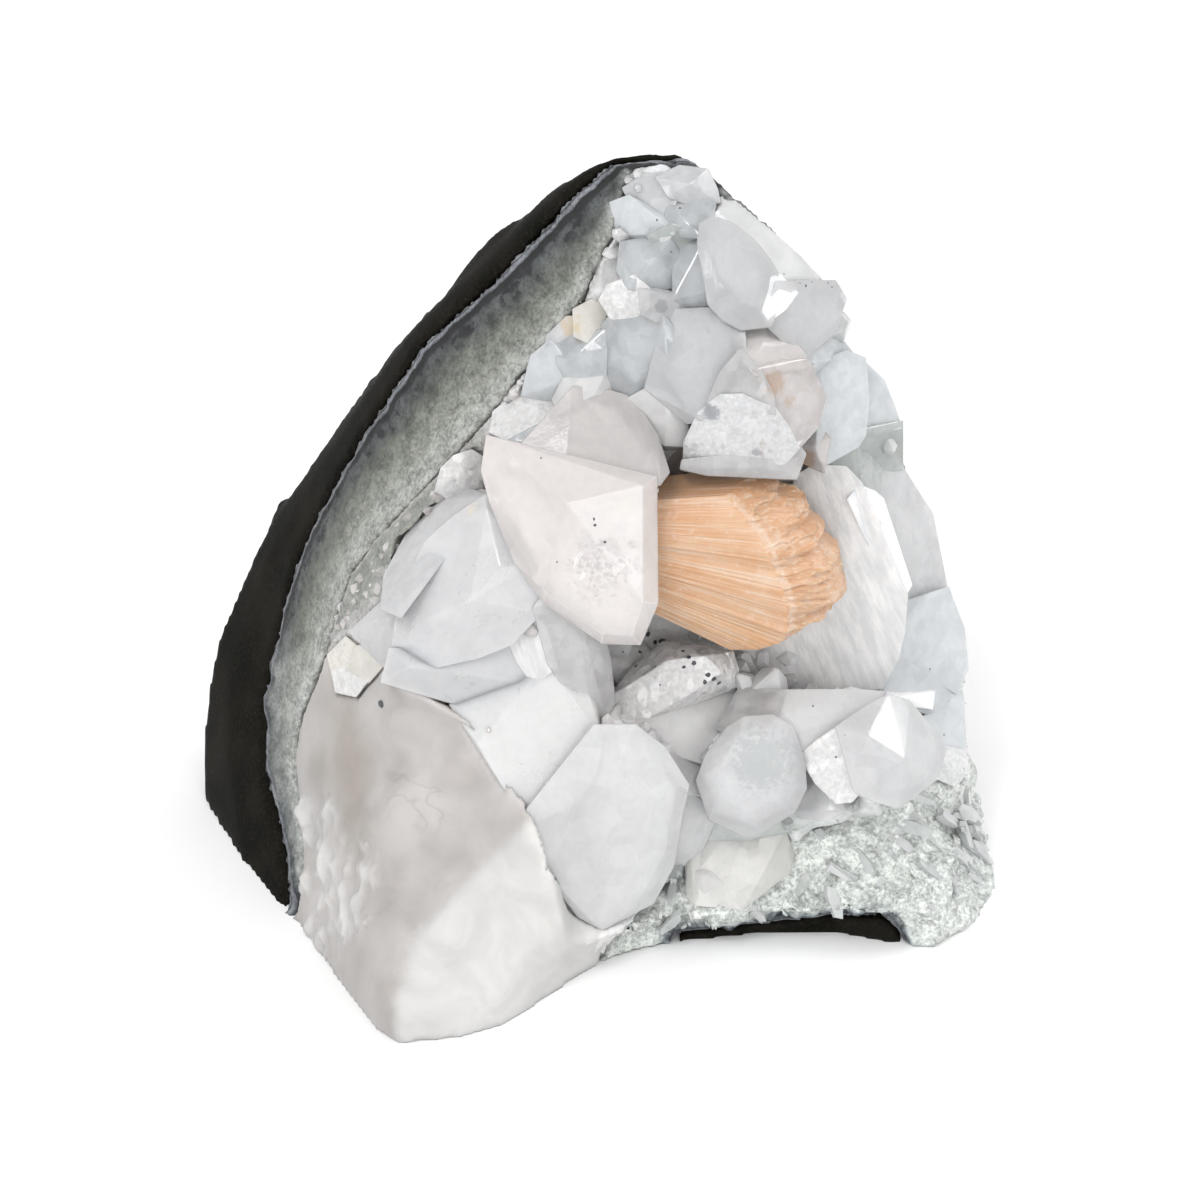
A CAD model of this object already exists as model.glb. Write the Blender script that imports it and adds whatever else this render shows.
# %% [markdown]
# # An apophyllite cluster with a sheaf of stilbite
#
# This specimen was broken out of a cavity in basalt. From the outside inwards it is dark basalt, a banded
# grey green rind, and the crystals that grew into the cavity: milky to clear apophyllite, and one peach
# coloured sheaf of stilbite. Its left flank, its foot and its base were ground smooth.
#
# The solids of the frame give every place and size. Here each of them gets its fine surface and its finish.

# %% Loading the frame
import math
import random

import bmesh
import bpy
import numpy
from mathutils import Matrix, Vector, noise
from mathutils.bvhtree import BVHTree


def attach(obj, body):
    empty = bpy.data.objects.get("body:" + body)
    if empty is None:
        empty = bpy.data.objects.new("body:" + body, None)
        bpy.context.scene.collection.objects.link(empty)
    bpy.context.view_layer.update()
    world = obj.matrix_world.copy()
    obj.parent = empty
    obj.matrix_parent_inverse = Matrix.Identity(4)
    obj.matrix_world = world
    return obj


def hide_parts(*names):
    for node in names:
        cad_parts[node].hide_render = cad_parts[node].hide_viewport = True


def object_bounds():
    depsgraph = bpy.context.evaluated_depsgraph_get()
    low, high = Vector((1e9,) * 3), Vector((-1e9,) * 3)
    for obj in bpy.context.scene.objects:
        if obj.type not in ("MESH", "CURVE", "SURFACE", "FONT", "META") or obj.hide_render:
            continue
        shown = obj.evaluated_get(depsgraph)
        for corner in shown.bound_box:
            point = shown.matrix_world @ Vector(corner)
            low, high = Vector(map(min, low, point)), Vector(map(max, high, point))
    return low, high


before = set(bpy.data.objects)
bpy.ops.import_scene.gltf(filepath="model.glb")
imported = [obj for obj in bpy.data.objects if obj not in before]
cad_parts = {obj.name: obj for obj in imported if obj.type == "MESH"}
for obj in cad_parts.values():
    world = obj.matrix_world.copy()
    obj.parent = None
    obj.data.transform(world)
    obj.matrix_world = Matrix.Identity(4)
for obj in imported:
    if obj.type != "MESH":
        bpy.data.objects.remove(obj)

MM = 0.001
SOLIDS_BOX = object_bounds()
print("box of the solids", [round(v / MM, 1) for corner in SOLIDS_BOX for v in corner])

# %% [markdown]
# ## The camera
#
# The specimen is seen from the front and about 30 degrees from above. The camera comes first, because a few
# small marks are placed by looking along its lines of sight onto the finished surface.

# %% The camera
AIM = Vector((0, 0, 47.3)) * MM
VIEW_ELEVATION = math.radians(30)
VIEW_DISTANCE = 0.6
FRAME_WIDTH = 165.6 * MM
FRAME_PIXELS = 1200
SENSOR = 36.0
# A surface is seen when it is turned at least this much to the camera
FACING = 0.1

camera_data = bpy.data.cameras.new("camera")
camera_data.sensor_width = SENSOR
camera_data.lens = SENSOR * VIEW_DISTANCE / FRAME_WIDTH
camera = bpy.data.objects.new("camera", camera_data)
back = Vector((0, -math.cos(VIEW_ELEVATION), math.sin(VIEW_ELEVATION)))
VIEW_UP = (0, math.sin(VIEW_ELEVATION), math.cos(VIEW_ELEVATION))
camera.location = AIM + back * VIEW_DISTANCE
camera.rotation_euler = (math.pi / 2 - VIEW_ELEVATION, 0, 0)
bpy.context.scene.collection.objects.link(camera)
bpy.context.scene.camera = camera


def sight(px, py):
    """The direction in which the camera sees a pixel of the square frame."""
    across = Vector((px / FRAME_PIXELS - 0.5, 0, 0)) * FRAME_WIDTH
    spot = AIM + across + Vector(VIEW_UP) * (0.5 - py / FRAME_PIXELS) * FRAME_WIDTH
    return (spot - camera.location).normalized()


def pixel_of(point):
    """Where the camera sees a point, in pixels of the square frame."""
    away = point - camera.location
    depth = -away.dot(back)
    across = away.x * VIEW_DISTANCE / depth
    upwards = away.dot(Vector(VIEW_UP)) * VIEW_DISTANCE / depth
    return (across / FRAME_WIDTH + 0.5) * FRAME_PIXELS, (0.5 - upwards / FRAME_WIDTH) * FRAME_PIXELS


def seen_within(outline, point, normal):
    """Whether the camera sees this point of a surface inside an outline of pixels."""
    if normal.dot(back) < FACING:
        return False
    px, py = pixel_of(point)
    inside = False
    for (x0, y0), (x1, y1) in zip(outline, outline[1:] + outline[:1]):
        if (y0 > py) != (y1 > py) and px < x0 + (py - y0) * (x1 - x0) / (y1 - y0):
            inside = not inside
    return inside


def pixels_outside(outline, px, py):
    """How many pixels a spot lies from the nearest edge of an outline."""
    spot, nearest = Vector((px, py)), 1e9
    for a, b in zip(outline, outline[1:] + outline[:1]):
        a, way = Vector(a), Vector(b) - Vector(a)
        share = min(max((spot - a).dot(way) / way.length_squared, 0), 1)
        nearest = min(nearest, (spot - a - way * share).length)
    return nearest


# White blobs on the foot
BLOBS = ((292, 800), (330, 790), (352, 830), (385, 860), (392, 905), (360, 930), (330, 960), (292, 925))
# Outlines, in pixels, of what was ground smooth, and of the ragged bladed mass at the lower right
GROUND_FOOT = ((325, 670), (387, 680), (430, 682), (460, 710), (520, 780), (560, 860), (600, 905),
               (603, 925), (590, 970), (467, 1045), (370, 1040), (230, 860), (262, 770), (300, 700))
GROUND_TOP = ((714, 205), (745, 245), (780, 290), (795, 293), (840, 285), (813, 255), (764, 210), (730, 190))
CRYSTAL_FIELD = ((655, 176), (626, 212), (608, 255), (588, 300), (560, 335), (532, 368), (508, 402),
                 (492, 440), (476, 482), (440, 545), (396, 592), (352, 628), (328, 662), (387, 676), (480, 696),
                 (540, 765), (585, 850), (603, 925), (652, 899), (694, 850), (791, 830), (870, 800),
                 (940, 780), (966, 770), (965, 665), (930, 516), (900, 425), (883, 386), (853, 357),
                 (832, 332), (843, 300), (832, 284), (741, 204), (712, 186), (690, 166))
BLADED = ((603, 925), (634, 902), (660, 870), (690, 850), (760, 838), (830, 812), (870, 795), (935, 780),
          (990, 790), (1010, 900), (950, 950), (885, 960), (790, 950), (666, 960), (588, 980))

print("lens", round(camera_data.lens, 1), "mm, aim at", [round(v) for v in pixel_of(AIM)])

# %% [markdown]
# ## Helpers for meshes
#
# A solid of the frame is a net of loose triangles, so a copy is merged first. A stone's surface needs small
# even faces before it can be roughened, and a voxel remesh makes those from any closed solid. Values that a
# finish needs, such as the distance to another stone, are stored at the points of a piece.

# %% Helpers for meshes
STORED_AS = {"FLOAT": "value", "FLOAT_VECTOR": "vector", "FLOAT_COLOR": "color"}


def mesh_of(bm, name):
    """Turns a bmesh into a mesh, and frees it."""
    mesh = bpy.data.meshes.new(name)
    bm.to_mesh(mesh)
    bm.free()
    return mesh


def in_scene(name, data):
    """A new object of the scene with this mesh or light."""
    obj = bpy.data.objects.new(name, data)
    bpy.context.scene.collection.objects.link(obj)
    return obj


def solid_copy(node):
    """A merged copy of a solid of the frame, as a bmesh."""
    bm = bmesh.new()
    bm.from_mesh(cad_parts[node].data)
    bmesh.ops.remove_doubles(bm, verts=bm.verts, dist=1e-6)
    return bm


def surface_of(node, *more):
    """A tree of one or more solids, which finds their nearest point, or where a line meets them."""
    whole = solid_copy(node)
    for other in more:
        whole.from_mesh(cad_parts[other].data)
    tree = BVHTree.FromBMesh(whole)
    whole.free()
    return tree


def triangles_of(node):
    """A solid as triangles, whose area is easy to spread points over."""
    bm = solid_copy(node)
    bmesh.ops.triangulate(bm, faces=bm.faces)
    bm.normal_update()
    return bm


def even_skin(node, size):
    """A solid with small even faces of about this size."""
    obj = in_scene("skin", mesh_of(solid_copy(node), "skin"))
    remesh = obj.modifiers.new("Remesh", "REMESH")
    remesh.mode = "VOXEL"
    remesh.voxel_size = size
    made = bmesh.new()
    bpy.context.view_layer.update()
    made.from_mesh(obj.evaluated_get(bpy.context.evaluated_depsgraph_get()).to_mesh())
    bpy.data.objects.remove(obj)
    for face in made.faces:
        face.smooth = True
    return made


def smooth_points(bm, points, upwards=True):
    """Moves each point halfway to the middle of its neighbours, or only sideways."""
    bmesh.ops.smooth_vert(bm, verts=points, factor=0.5, use_axis_x=True, use_axis_y=True, use_axis_z=upwards)


def bevel_edges(bm, width):
    """A fine bevel along every edge, because a real edge catches the light."""
    bmesh.ops.bevel(bm, geom=bm.edges, offset=width, segments=1, profile=0.5, affect="EDGES",
                    clamp_overlap=True, material=-1)


def smoothstep(low, high, value):
    """0 up to low and 1 from high on, with a soft change between them."""
    t = min(max((value - low) / (high - low), 0), 1)
    return t * t * (3 - 2 * t)


def fractal(point, size, octaves=3):
    """Smooth noise between about -1 and 1, with ever finer and weaker layers."""
    total, height = 0.0, 1.0
    for k in range(octaves):
        total += noise.noise(point / size * 2**k + Vector((k * 7.3, 1.7, -k))) * height
        height /= 2
    return total


def kept_in_box(bm):
    """Moves any point that stands out of the solids' box back onto it."""
    low, high = SOLIDS_BOX
    for v in bm.verts:
        v.co = Vector(max(a, min(b, c)) for a, b, c in zip(low, high, v.co))


def finished(name, bm, slot, material, *nodes):
    """Turns a bmesh into a piece that rides on the root and may stand for solids of the frame."""
    kept_in_box(bm)
    piece = in_scene(name, mesh_of(bm, name))
    piece.data.materials.append(material)
    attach(piece, "root")
    if nodes:
        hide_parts(*nodes)
    print(name, len(piece.data.polygons), "faces")
    return piece


def store(piece, name, kind, values):
    """Stores one value, vector or colour at each point of a piece."""
    piece.data.attributes.new(name, kind, "POINT").data.foreach_set(STORED_AS[kind], values)


# %% [markdown]
# ## Helpers for materials
#
# Each finish is a small net of nodes that read the object's own coordinates. This class adds the nodes, so a
# finish below reads like a recipe.

# %% Helpers for materials
class Finish:
    """One material, and short ways to add the nodes that drive it."""

    def __init__(self, name):
        self.material = bpy.data.materials.new(name)
        self.material.use_nodes = True
        self.nodes = self.material.node_tree.nodes
        self.links = self.material.node_tree.links
        self.shader = self.nodes["Principled BSDF"]
        self.place = self.add("ShaderNodeTexCoord").outputs["Object"]

    def fill(self, socket, value):
        """Sets a socket, or links another node's output to it. A colour may be given without its alpha."""
        if isinstance(value, bpy.types.NodeSocket):
            self.links.new(value, socket)
        elif socket.type == "RGBA" and len(value) == 3:
            socket.default_value = (*value, 1)
        else:
            socket.default_value = value

    def add(self, kind, sockets=None, **settings):
        """A node of this kind, with its settings and with values for its inputs."""
        node = self.nodes.new(kind)
        for key, value in settings.items():
            setattr(node, key, value)
        for key, value in (sockets or {}).items():
            self.fill(node.inputs[key], value)
        return node

    def set(self, **sockets):
        """Sets or links sockets of the shader."""
        for key, value in sockets.items():
            self.fill(self.shader.inputs[key.replace("_", " ")], value)

    def attribute(self, name, output):
        """What is stored under this name at the points of the piece."""
        return self.add("ShaderNodeAttribute", attribute_name=name).outputs[output]

    def noise(self, size, detail=4.0, roughness=0.55, distortion=0.0, place=None):
        """Cloudy noise whose features are about this many millimetres across."""
        sockets = {"Vector": place or self.place, "Scale": 1 / (size * MM), "Detail": detail}
        sockets.update({"Roughness": roughness, "Distortion": distortion})
        return self.add("ShaderNodeTexNoise", sockets).outputs["Fac"]

    def wander(self, size, detail, roughness):
        """The same noise between about -0.5 and 0.5, for shifting a border."""
        return self.math("SUBTRACT", self.noise(size, detail, roughness), 0.5)

    def cells(self, size, output="Distance", place=None):
        """Irregular cells of this size: the distance to a cell's middle, or a colour of its own."""
        sockets = {"Vector": place or self.place, "Scale": 1 / (size * MM)}
        return self.add("ShaderNodeTexVoronoi", sockets).outputs[output]

    def stretched(self, scale, place=None):
        """Coordinates that are squeezed or stretched along each axis."""
        sockets = {"Vector": place or self.place, "Scale": scale}
        return self.add("ShaderNodeMapping", sockets).outputs["Vector"]

    def math(self, operation, a, b=0.0):
        return self.add("ShaderNodeMath", {0: a, 1: b}, operation=operation).outputs[0]

    def plus(self, a, b, times):
        """a with b added to it, so many times."""
        return self.math("ADD", a, self.math("MULTIPLY", b, times))

    def vectors(self, operation, a, b=None, output=0):
        sockets = {0: a} if b is None else {0: a, "Scale" if operation == "SCALE" else 1: b}
        return self.add("ShaderNodeVectorMath", sockets, operation=operation).outputs[output]

    def remap(self, value, low, high, to_low=0.0, to_high=1.0):
        """A soft change from one value to another, while the input goes from low to high."""
        sockets = {"Value": value, "From Min": low, "From Max": high, "To Min": to_low, "To Max": to_high}
        return self.add("ShaderNodeMapRange", sockets, interpolation_type="SMOOTHSTEP").outputs["Result"]

    def mix(self, share, a, b, blend="MIX"):
        """One colour laid over another."""
        node = self.add("ShaderNodeMix", {0: share}, data_type="RGBA", blend_type=blend)
        self.fill(node.inputs[6], a)
        self.fill(node.inputs[7], b)
        return node.outputs[2]

    def times(self, colour, tint, share=1.0):
        """A colour multiplied by a tint, all over or only by a share."""
        return self.mix(share, colour, tint, "MULTIPLY")

    def ramp(self, value, *stops):
        """Colours at stops from 0 to 1."""
        node = self.add("ShaderNodeValToRGB", {"Fac": value})
        elements = node.color_ramp.elements
        while len(elements) < len(stops):
            elements.new(0.5)
        for element, (position, colour) in zip(elements, stops):
            element.position = position
            element.color = (*colour, 1)
        return node.outputs["Color"]

    def near(self, spot, radius):
        """1 at a spot, given in millimetres, and 0 beyond the radius."""
        away = self.vectors("DISTANCE", self.place, Vector(spot) * MM, "Value")
        return self.remap(away, 0, radius * MM, 1, 0)

    def facets(self, size, tilt, place=None):
        """The surface's direction, tilted differently in each cell, as on stepped crystal faces."""
        tilts = self.vectors("SUBTRACT", self.cells(size, "Color", place), (0.5, 0.5, 0.5))
        both = self.vectors("ADD", self.own_normal(), self.vectors("SCALE", tilts, tilt))
        return self.vectors("NORMALIZE", both)

    def own_normal(self):
        return self.add("ShaderNodeNewGeometry").outputs["Normal"]

    def bump(self, height, strength, depth, normal=None):
        """The surface's direction on fine relief of this depth, in millimetres."""
        sockets = {"Height": height, "Strength": strength, "Distance": depth * MM}
        if normal:
            sockets["Normal"] = normal
        return self.add("ShaderNodeBump", sockets).outputs["Normal"]

    def graininess(self, darkest):
        """Fine grains, and the light and dark between this and 1.3 that they and their clumps give."""
        grains = self.noise(0.55, 5, 0.75)
        return grains, self.remap(self.plus(grains, self.noise(2.5, 4, 0.6), 0.6), 0.55, 1.05, darkest, 1.3)


# %% [markdown]
# ## Basalt
#
# The basalt is nearly black, with a faint olive brown cast, and so fine grained that only a speckle shows.
# On the left it was ground flat and has a dull polish. At the back it is as it broke, so there its points
# are moved by noise of several sizes.

# %% The finish of the basalt
def basalt_finish():
    f = Finish("basalt")
    grain = f.noise(0.5, 6, 0.7)
    flecks = f.cells(0.45)
    cloud = f.noise(9, 3)
    colour = f.mix(f.remap(cloud, 0.35, 0.7), (0.003, 0.003, 0.002), (0.009, 0.008, 0.006))
    colour = f.mix(f.remap(grain, 0.45, 0.8, 0, 0.7), colour, (0.032, 0.029, 0.022))
    colour = f.mix(f.remap(flecks, 0.0, 0.16, 0.5, 0), colour, (0.08, 0.073, 0.055))
    height = f.plus(grain, f.noise(2.5, 5), 0.8)
    f.set(Base_Color=colour, Roughness=f.remap(grain, 0.3, 0.7, 0.42, 0.68), Metallic=0.0)
    f.set(Normal=f.bump(height, 0.5, 0.12), Specular_IOR_Level=0.05)
    return f.material


# %% [markdown]
# The remesh leaves small steps, so the skin is smoothed first. The ring of points that the base stands on is
# only smoothed sideways, and stays flat on the floor.

# %% The basalt
BASALT_FACE = 0.8 * MM
BREAK_DEPTH = 1.1 * MM
BASE_RING = 0.2 * MM
SMOOTHINGS = 4


def roughen_breaks(bm):
    """Breaks up what faces back or to the right, and leaves what was ground smooth."""
    bm.normal_update()
    for v in bm.verts:
        broken = smoothstep(-0.05, 0.45, v.normal.y) * smoothstep(0.3 * MM, 2 * MM, v.co.z)
        if broken:
            rise = fractal(v.co, 9 * MM, 5) * 1.0 + abs(fractal(v.co, 3 * MM, 3)) * 0.5 - 0.5
            v.co += v.normal * rise * BREAK_DEPTH * broken


bm = even_skin("basalt_matrix", BASALT_FACE)
for _ in range(SMOOTHINGS):
    smooth_points(bm, [v for v in bm.verts if v.co.z > BASE_RING])
    smooth_points(bm, [v for v in bm.verts if v.co.z <= BASE_RING], upwards=False)
roughen_breaks(bm)
finished("basalt", bm, "basalt", basalt_finish(), "basalt_matrix")

# %% [markdown]
# ## Rind
#
# Between basalt and crystals lies a granular rind. Next to the basalt it starts with a thin seam of light
# and dark lines, then it is blue grey, then olive, and near the crystals almost white. All of that follows
# the distance to the basalt, so each point of the rind stores that distance, and the colours read it.

# %% The finish of the rind
def rind_finish():
    f = Finish("rind")
    depth = f.attribute("from_basalt", "Fac")
    wander = f.wander(4, 5, 0.65)
    seam_share = f.math("DIVIDE", f.plus(depth, wander, 1.2 * MM), 3 * MM)
    seam = f.ramp(
        seam_share,
        (0.0, (0.012, 0.012, 0.012)),
        (0.10, (0.20, 0.21, 0.23)),
        (0.22, (0.24, 0.25, 0.27)),
        (0.29, (0.03, 0.03, 0.035)),
        (0.36, (0.22, 0.23, 0.25)),
        (0.48, (0.17, 0.18, 0.20)),
        (0.56, (0.012, 0.012, 0.013)),
        (0.85, (0.018, 0.019, 0.021)),
        (1.0, (0.05, 0.052, 0.056)),
    )
    body_share = f.math("DIVIDE", f.plus(depth, wander, 5 * MM), 14 * MM)
    body = f.ramp(
        body_share,
        (0.12, (0.040, 0.043, 0.047)),
        (0.28, (0.085, 0.092, 0.092)),
        (0.50, (0.145, 0.155, 0.132)),
        (0.75, (0.24, 0.25, 0.22)),
        (1.0, (0.36, 0.37, 0.34)),
    )
    patches = f.noise(2.2, 6, 0.7)
    patched = f.math("MULTIPLY", f.remap(patches, 0.50, 0.57), f.remap(body_share, 0.26, 0.5, 0.9, 0))
    body = f.mix(patched, body, (0.014, 0.014, 0.017))
    near_crystals = f.plus(f.attribute("from_crystals", "Fac"), wander, 7 * MM)
    body = f.mix(f.remap(near_crystals, 0, 3.5 * MM, 0.65, 0), body, (0.42, 0.43, 0.41))
    colour = f.mix(f.remap(seam_share, 0.8, 1.0), seam, body)
    ragged_share = f.math("DIVIDE", f.plus(depth, wander, 7 * MM), 5 * MM)
    ragged = f.ramp(
        ragged_share,
        (0.0, (0.012, 0.013, 0.014)),
        (0.16, (0.03, 0.035, 0.04)),
        (0.3, (0.20, 0.23, 0.25)),
        (0.45, (0.42, 0.46, 0.45)),
        (0.7, (0.60, 0.63, 0.61)),
    )
    fan = f.attribute("fan", "Vector")
    fibres = f.noise(0.7, 5, 0.7, place=f.stretched((1, 1, 0.2), fan))
    masses = f.noise(5, 4, 0.6, place=f.stretched((1, 1, 0.6), fan))
    ragged = f.times(ragged, (1.2, 1.19, 1.18), f.remap(fibres, 0.45, 0.72))
    ragged = f.times(ragged, (1.12, 1.11, 1.10), f.remap(masses, 0.42, 0.60))
    colour = f.mix(f.attribute("bladed", "Fac"), colour, ragged)
    grains, light = f.graininess(0.38)
    colour = f.times(colour, light)
    height = f.math("ADD", grains, f.plus(f.cells(0.8), fibres, 1.5))
    f.set(Base_Color=colour, Roughness=f.remap(grains, 0.3, 0.7, 0.35, 0.75), Specular_IOR_Level=0.35)
    f.set(Normal=f.bump(height, 0.7, 0.25))
    return f.material


# %% [markdown]
# The rind's own relief is fine grain, and rough flakes in the ragged mass at the lower right. There things fan
# out from the middle of the cavity, so each point also stores where it lies in that fan.

# %% The rind
RIND_FACE = 0.7 * MM
FAN_CENTRE = Vector((10, -8, 42)) * MM


def bladed_share(point, normal):
    """1 in the ragged bladed mass at the lower right, also on the side that the camera doesn't see."""
    if seen_within(BLADED, point, normal):
        return 1.0
    if point.x < -30 * MM and normal.y < 0.3:
        return 0.28 * smoothstep(34 * MM, 26 * MM, point.z)
    x, z = point.x / MM, point.z / MM
    return smoothstep(30, 44, x) * smoothstep(40, 28, z) * smoothstep(-0.2, 0.2, normal.x)


def fanned(point):
    """Coordinates in which things that fan out from the middle of the cavity are long in one direction."""
    out = point - FAN_CENTRE
    turn = Vector((math.atan2(out.x, -out.z), math.atan2(-out.y, Vector((out.x, out.z)).length), 0))
    place = turn * 32 * MM
    place.z = out.length * 0.25
    return place


bm = even_skin("zeolite_rind", RIND_FACE)
roughen_breaks(bm)
bm.normal_update()
bladed = [bladed_share(v.co, v.normal) for v in bm.verts]
for v, share in zip(bm.verts, bladed):
    rise = fractal(v.co, 2.0 * MM, 2) * 0.26
    if share:
        flakes = noise.noise(fanned(v.co) / (1.8 * MM)) + 0.5 * noise.noise(fanned(v.co) / (0.9 * MM))
        rise += share * (fractal(v.co, 9 * MM, 3) * 1.5 + abs(flakes) * 1.3 - 0.7)
    v.co += v.normal * rise * MM * smoothstep(0, 1 * MM, v.co.z)
basalt_surface = surface_of("basalt_matrix")
crystal_surface = surface_of("apophyllite_crystals")
from_basalt = [basalt_surface.find_nearest(v.co)[3] for v in bm.verts]
from_crystals = [crystal_surface.find_nearest(v.co)[3] for v in bm.verts]
fan_places = [c for v in bm.verts for c in fanned(v.co)]
rind = finished("rind", bm, "rind", rind_finish(), "zeolite_rind")
store(rind, "from_basalt", "FLOAT", from_basalt)
store(rind, "from_crystals", "FLOAT", from_crystals)
store(rind, "bladed", "FLOAT", bladed)
store(rind, "fan", "FLOAT_VECTOR", fan_places)

# %% [markdown]
# ## Apophyllite: its finishes
#
# Apophyllite runs from milky white to clear as glass, often within one crystal. So the same recipe is used
# for all of it, with more or less milk in it, and with faces that are smooth or broken up into small steps.

# %% The finishes of the apophyllite
# The solids that carry crystals, for looking along the camera's lines of sight
crystal_ground = surface_of("apophyllite_crystals", "zeolite_rind")


def distance_seen(px, py):
    """How far from the camera the solids are along the line of sight of a pixel, or None."""
    return crystal_ground.ray_cast(camera.location, sight(px, py))[3]


def spot_seen(px, py):
    """The spot on the solids that the camera sees at a pixel."""
    return camera.location + sight(px, py) * distance_seen(px, py)


# Coloured spots by finish: place in pixels, radius in millimetres, colour and strength
ORANGE, DARK, STRAW = (0.80, 0.55, 0.38), (0.30, 0.31, 0.34), (0.55, 0.50, 0.43)
STAINS = {
    "clear": ((768, 384, 2.6, ORANGE, 0.7), (784, 400, 1.8, ORANGE, 0.6), (808, 458, 1.8, ORANGE, 0.8),
              (650, 266, 1.8, (0.55, 0.60, 0.56), 0.7), (661, 306, 1.2, DARK, 0.5)),
    "sparkling": ((712, 411, 1.7, DARK, 0.75), (756, 449, 1.1, DARK, 0.7), (771, 447, 1.0, DARK, 0.5),
                  (693, 655, 1.3, DARK, 0.8), (712, 677, 1.4, DARK, 0.8), (660, 690, 2.4, ORANGE, 0.5),
                  (708, 690, 1.0, ORANGE, 0.6), (862, 773, 0.9, ORANGE, 0.7), (715, 655, 1.8, ORANGE, 0.4)),
    "smooth": ((760, 756, 6.0, (0.56, 0.60, 0.59), 0.6), (722, 240, 1.1, STRAW, 0.8),
               (731, 249, 1.1, STRAW, 0.8), (709, 330, 1.1, DARK, 0.4)),
    "upright": ((612, 615, 2.6, (0.93, 0.75, 0.66), 0.6), (625, 500, 4.0, (0.97, 0.92, 0.80), 0.6),
                (590, 506, 2.6, (0.97, 0.92, 0.80), 0.5)),
    "cloudy": ((574, 326, 2.2, (0.70, 0.56, 0.38), 0.7),),
    "milky": ((478, 514, 2.2, (0.72, 0.62, 0.48), 0.6), (345, 660, 3.0, (0.74, 0.64, 0.50), 0.6)),
}


def stained(f, colour, stains):
    """The same colour with these coloured spots, ragged at their edges."""
    if not stains:
        return colour
    wander = f.math("ADD", f.math("MULTIPLY", f.wander(0.8, 5, 0.7), 2.4), 1.0)
    for px, py, radius, spot_colour, strength in stains:
        share = f.math("MULTIPLY", f.near(spot_seen(px, py) / MM, radius * 1.5), wander)
        colour = f.mix(f.remap(share, 0.3, 0.65, 0, strength), colour, spot_colour)
    return colour


# How much the cells inside a crystal differ in brightness, and how deep its growth lines are in millimetres
SPARKLE = {"sparkling": 0.38, "clear": 0.3, "smooth": 0.15, "cloudy": 0.2, "striated": 0, "milky": 0}
LINE_DEPTH = {"striated": 0.3, "milky": 0}
USUAL_LINE_DEPTH = 0.05
MILK = {"Subsurface_Scale": 3 * MM, "Subsurface_Radius": (1.0, 0.9, 0.8)}


def apophyllite_finish(kind, clearness, milk, pale, roughness, tilt, cell):
    """Milky or clear apophyllite. The tint is stored at each point, and veils and cracks come from noise."""
    f = Finish(kind + "_apophyllite")
    grain = f.attribute("grain", "Vector")
    veil = f.noise(5, 5, 0.6, 0.3, place=grain)
    lines = f.noise(0.4, 3, 0.5, place=f.stretched((1, 1, 0.03), grain))
    colour = f.mix(f.remap(veil, 0.3, 0.7), *pale)
    colour = f.times(colour, f.attribute("tint", "Color"))
    wisps = f.noise(1.4, 5, 0.65, 0.5, place=grain)
    colour = f.times(colour, (0.87, 0.88, 0.90), f.remap(wisps, 0.35, 0.62, 0.35, 0))
    if kind == "upright":
        # Broken up inside, and bright, round one place
        round_spot = f.near(spot_seen(603, 560) / MM, 12)
        sparkle = f.remap(f.math("ADD", round_spot, f.noise(1.5, 4)), 0.9, 1.25, 0, 0.6)
        tilt, cell = f.remap(sparkle, 0, 1, 0.03, 0.7), 0.8
    else:
        sparkle = SPARKLE[kind]
    if sparkle:
        flash = f.add("ShaderNodeSeparateColor", {0: f.cells(cell * 0.6, "Color", grain)}).outputs["Red"]
        colour = f.times(colour, f.remap(flash, 0, 1, 1.1, 0.72), sparkle)
    if kind == "striated":
        bands = f.noise(1.3, 5, 0.6, place=f.stretched((1, 1, 0.02), grain))
        colour = f.times(colour, (0.80, 0.81, 0.82), f.remap(bands, 0.35, 0.65, 1, 0))
    colour = stained(f, colour, STAINS.get(kind))
    f.set(Base_Color=colour, Roughness=f.remap(veil, 0.3, 0.7, *roughness), IOR=1.535)
    f.set(Transmission_Weight=clearness, Subsurface_Weight=milk, **MILK)
    steps = f.facets(cell, tilt, f.stretched((1, 1, 0.5), grain))
    depth = LINE_DEPTH.get(kind, USUAL_LINE_DEPTH)
    f.set(Normal=f.bump(lines, 0.3, depth, steps) if depth else steps)
    return f.material


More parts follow.
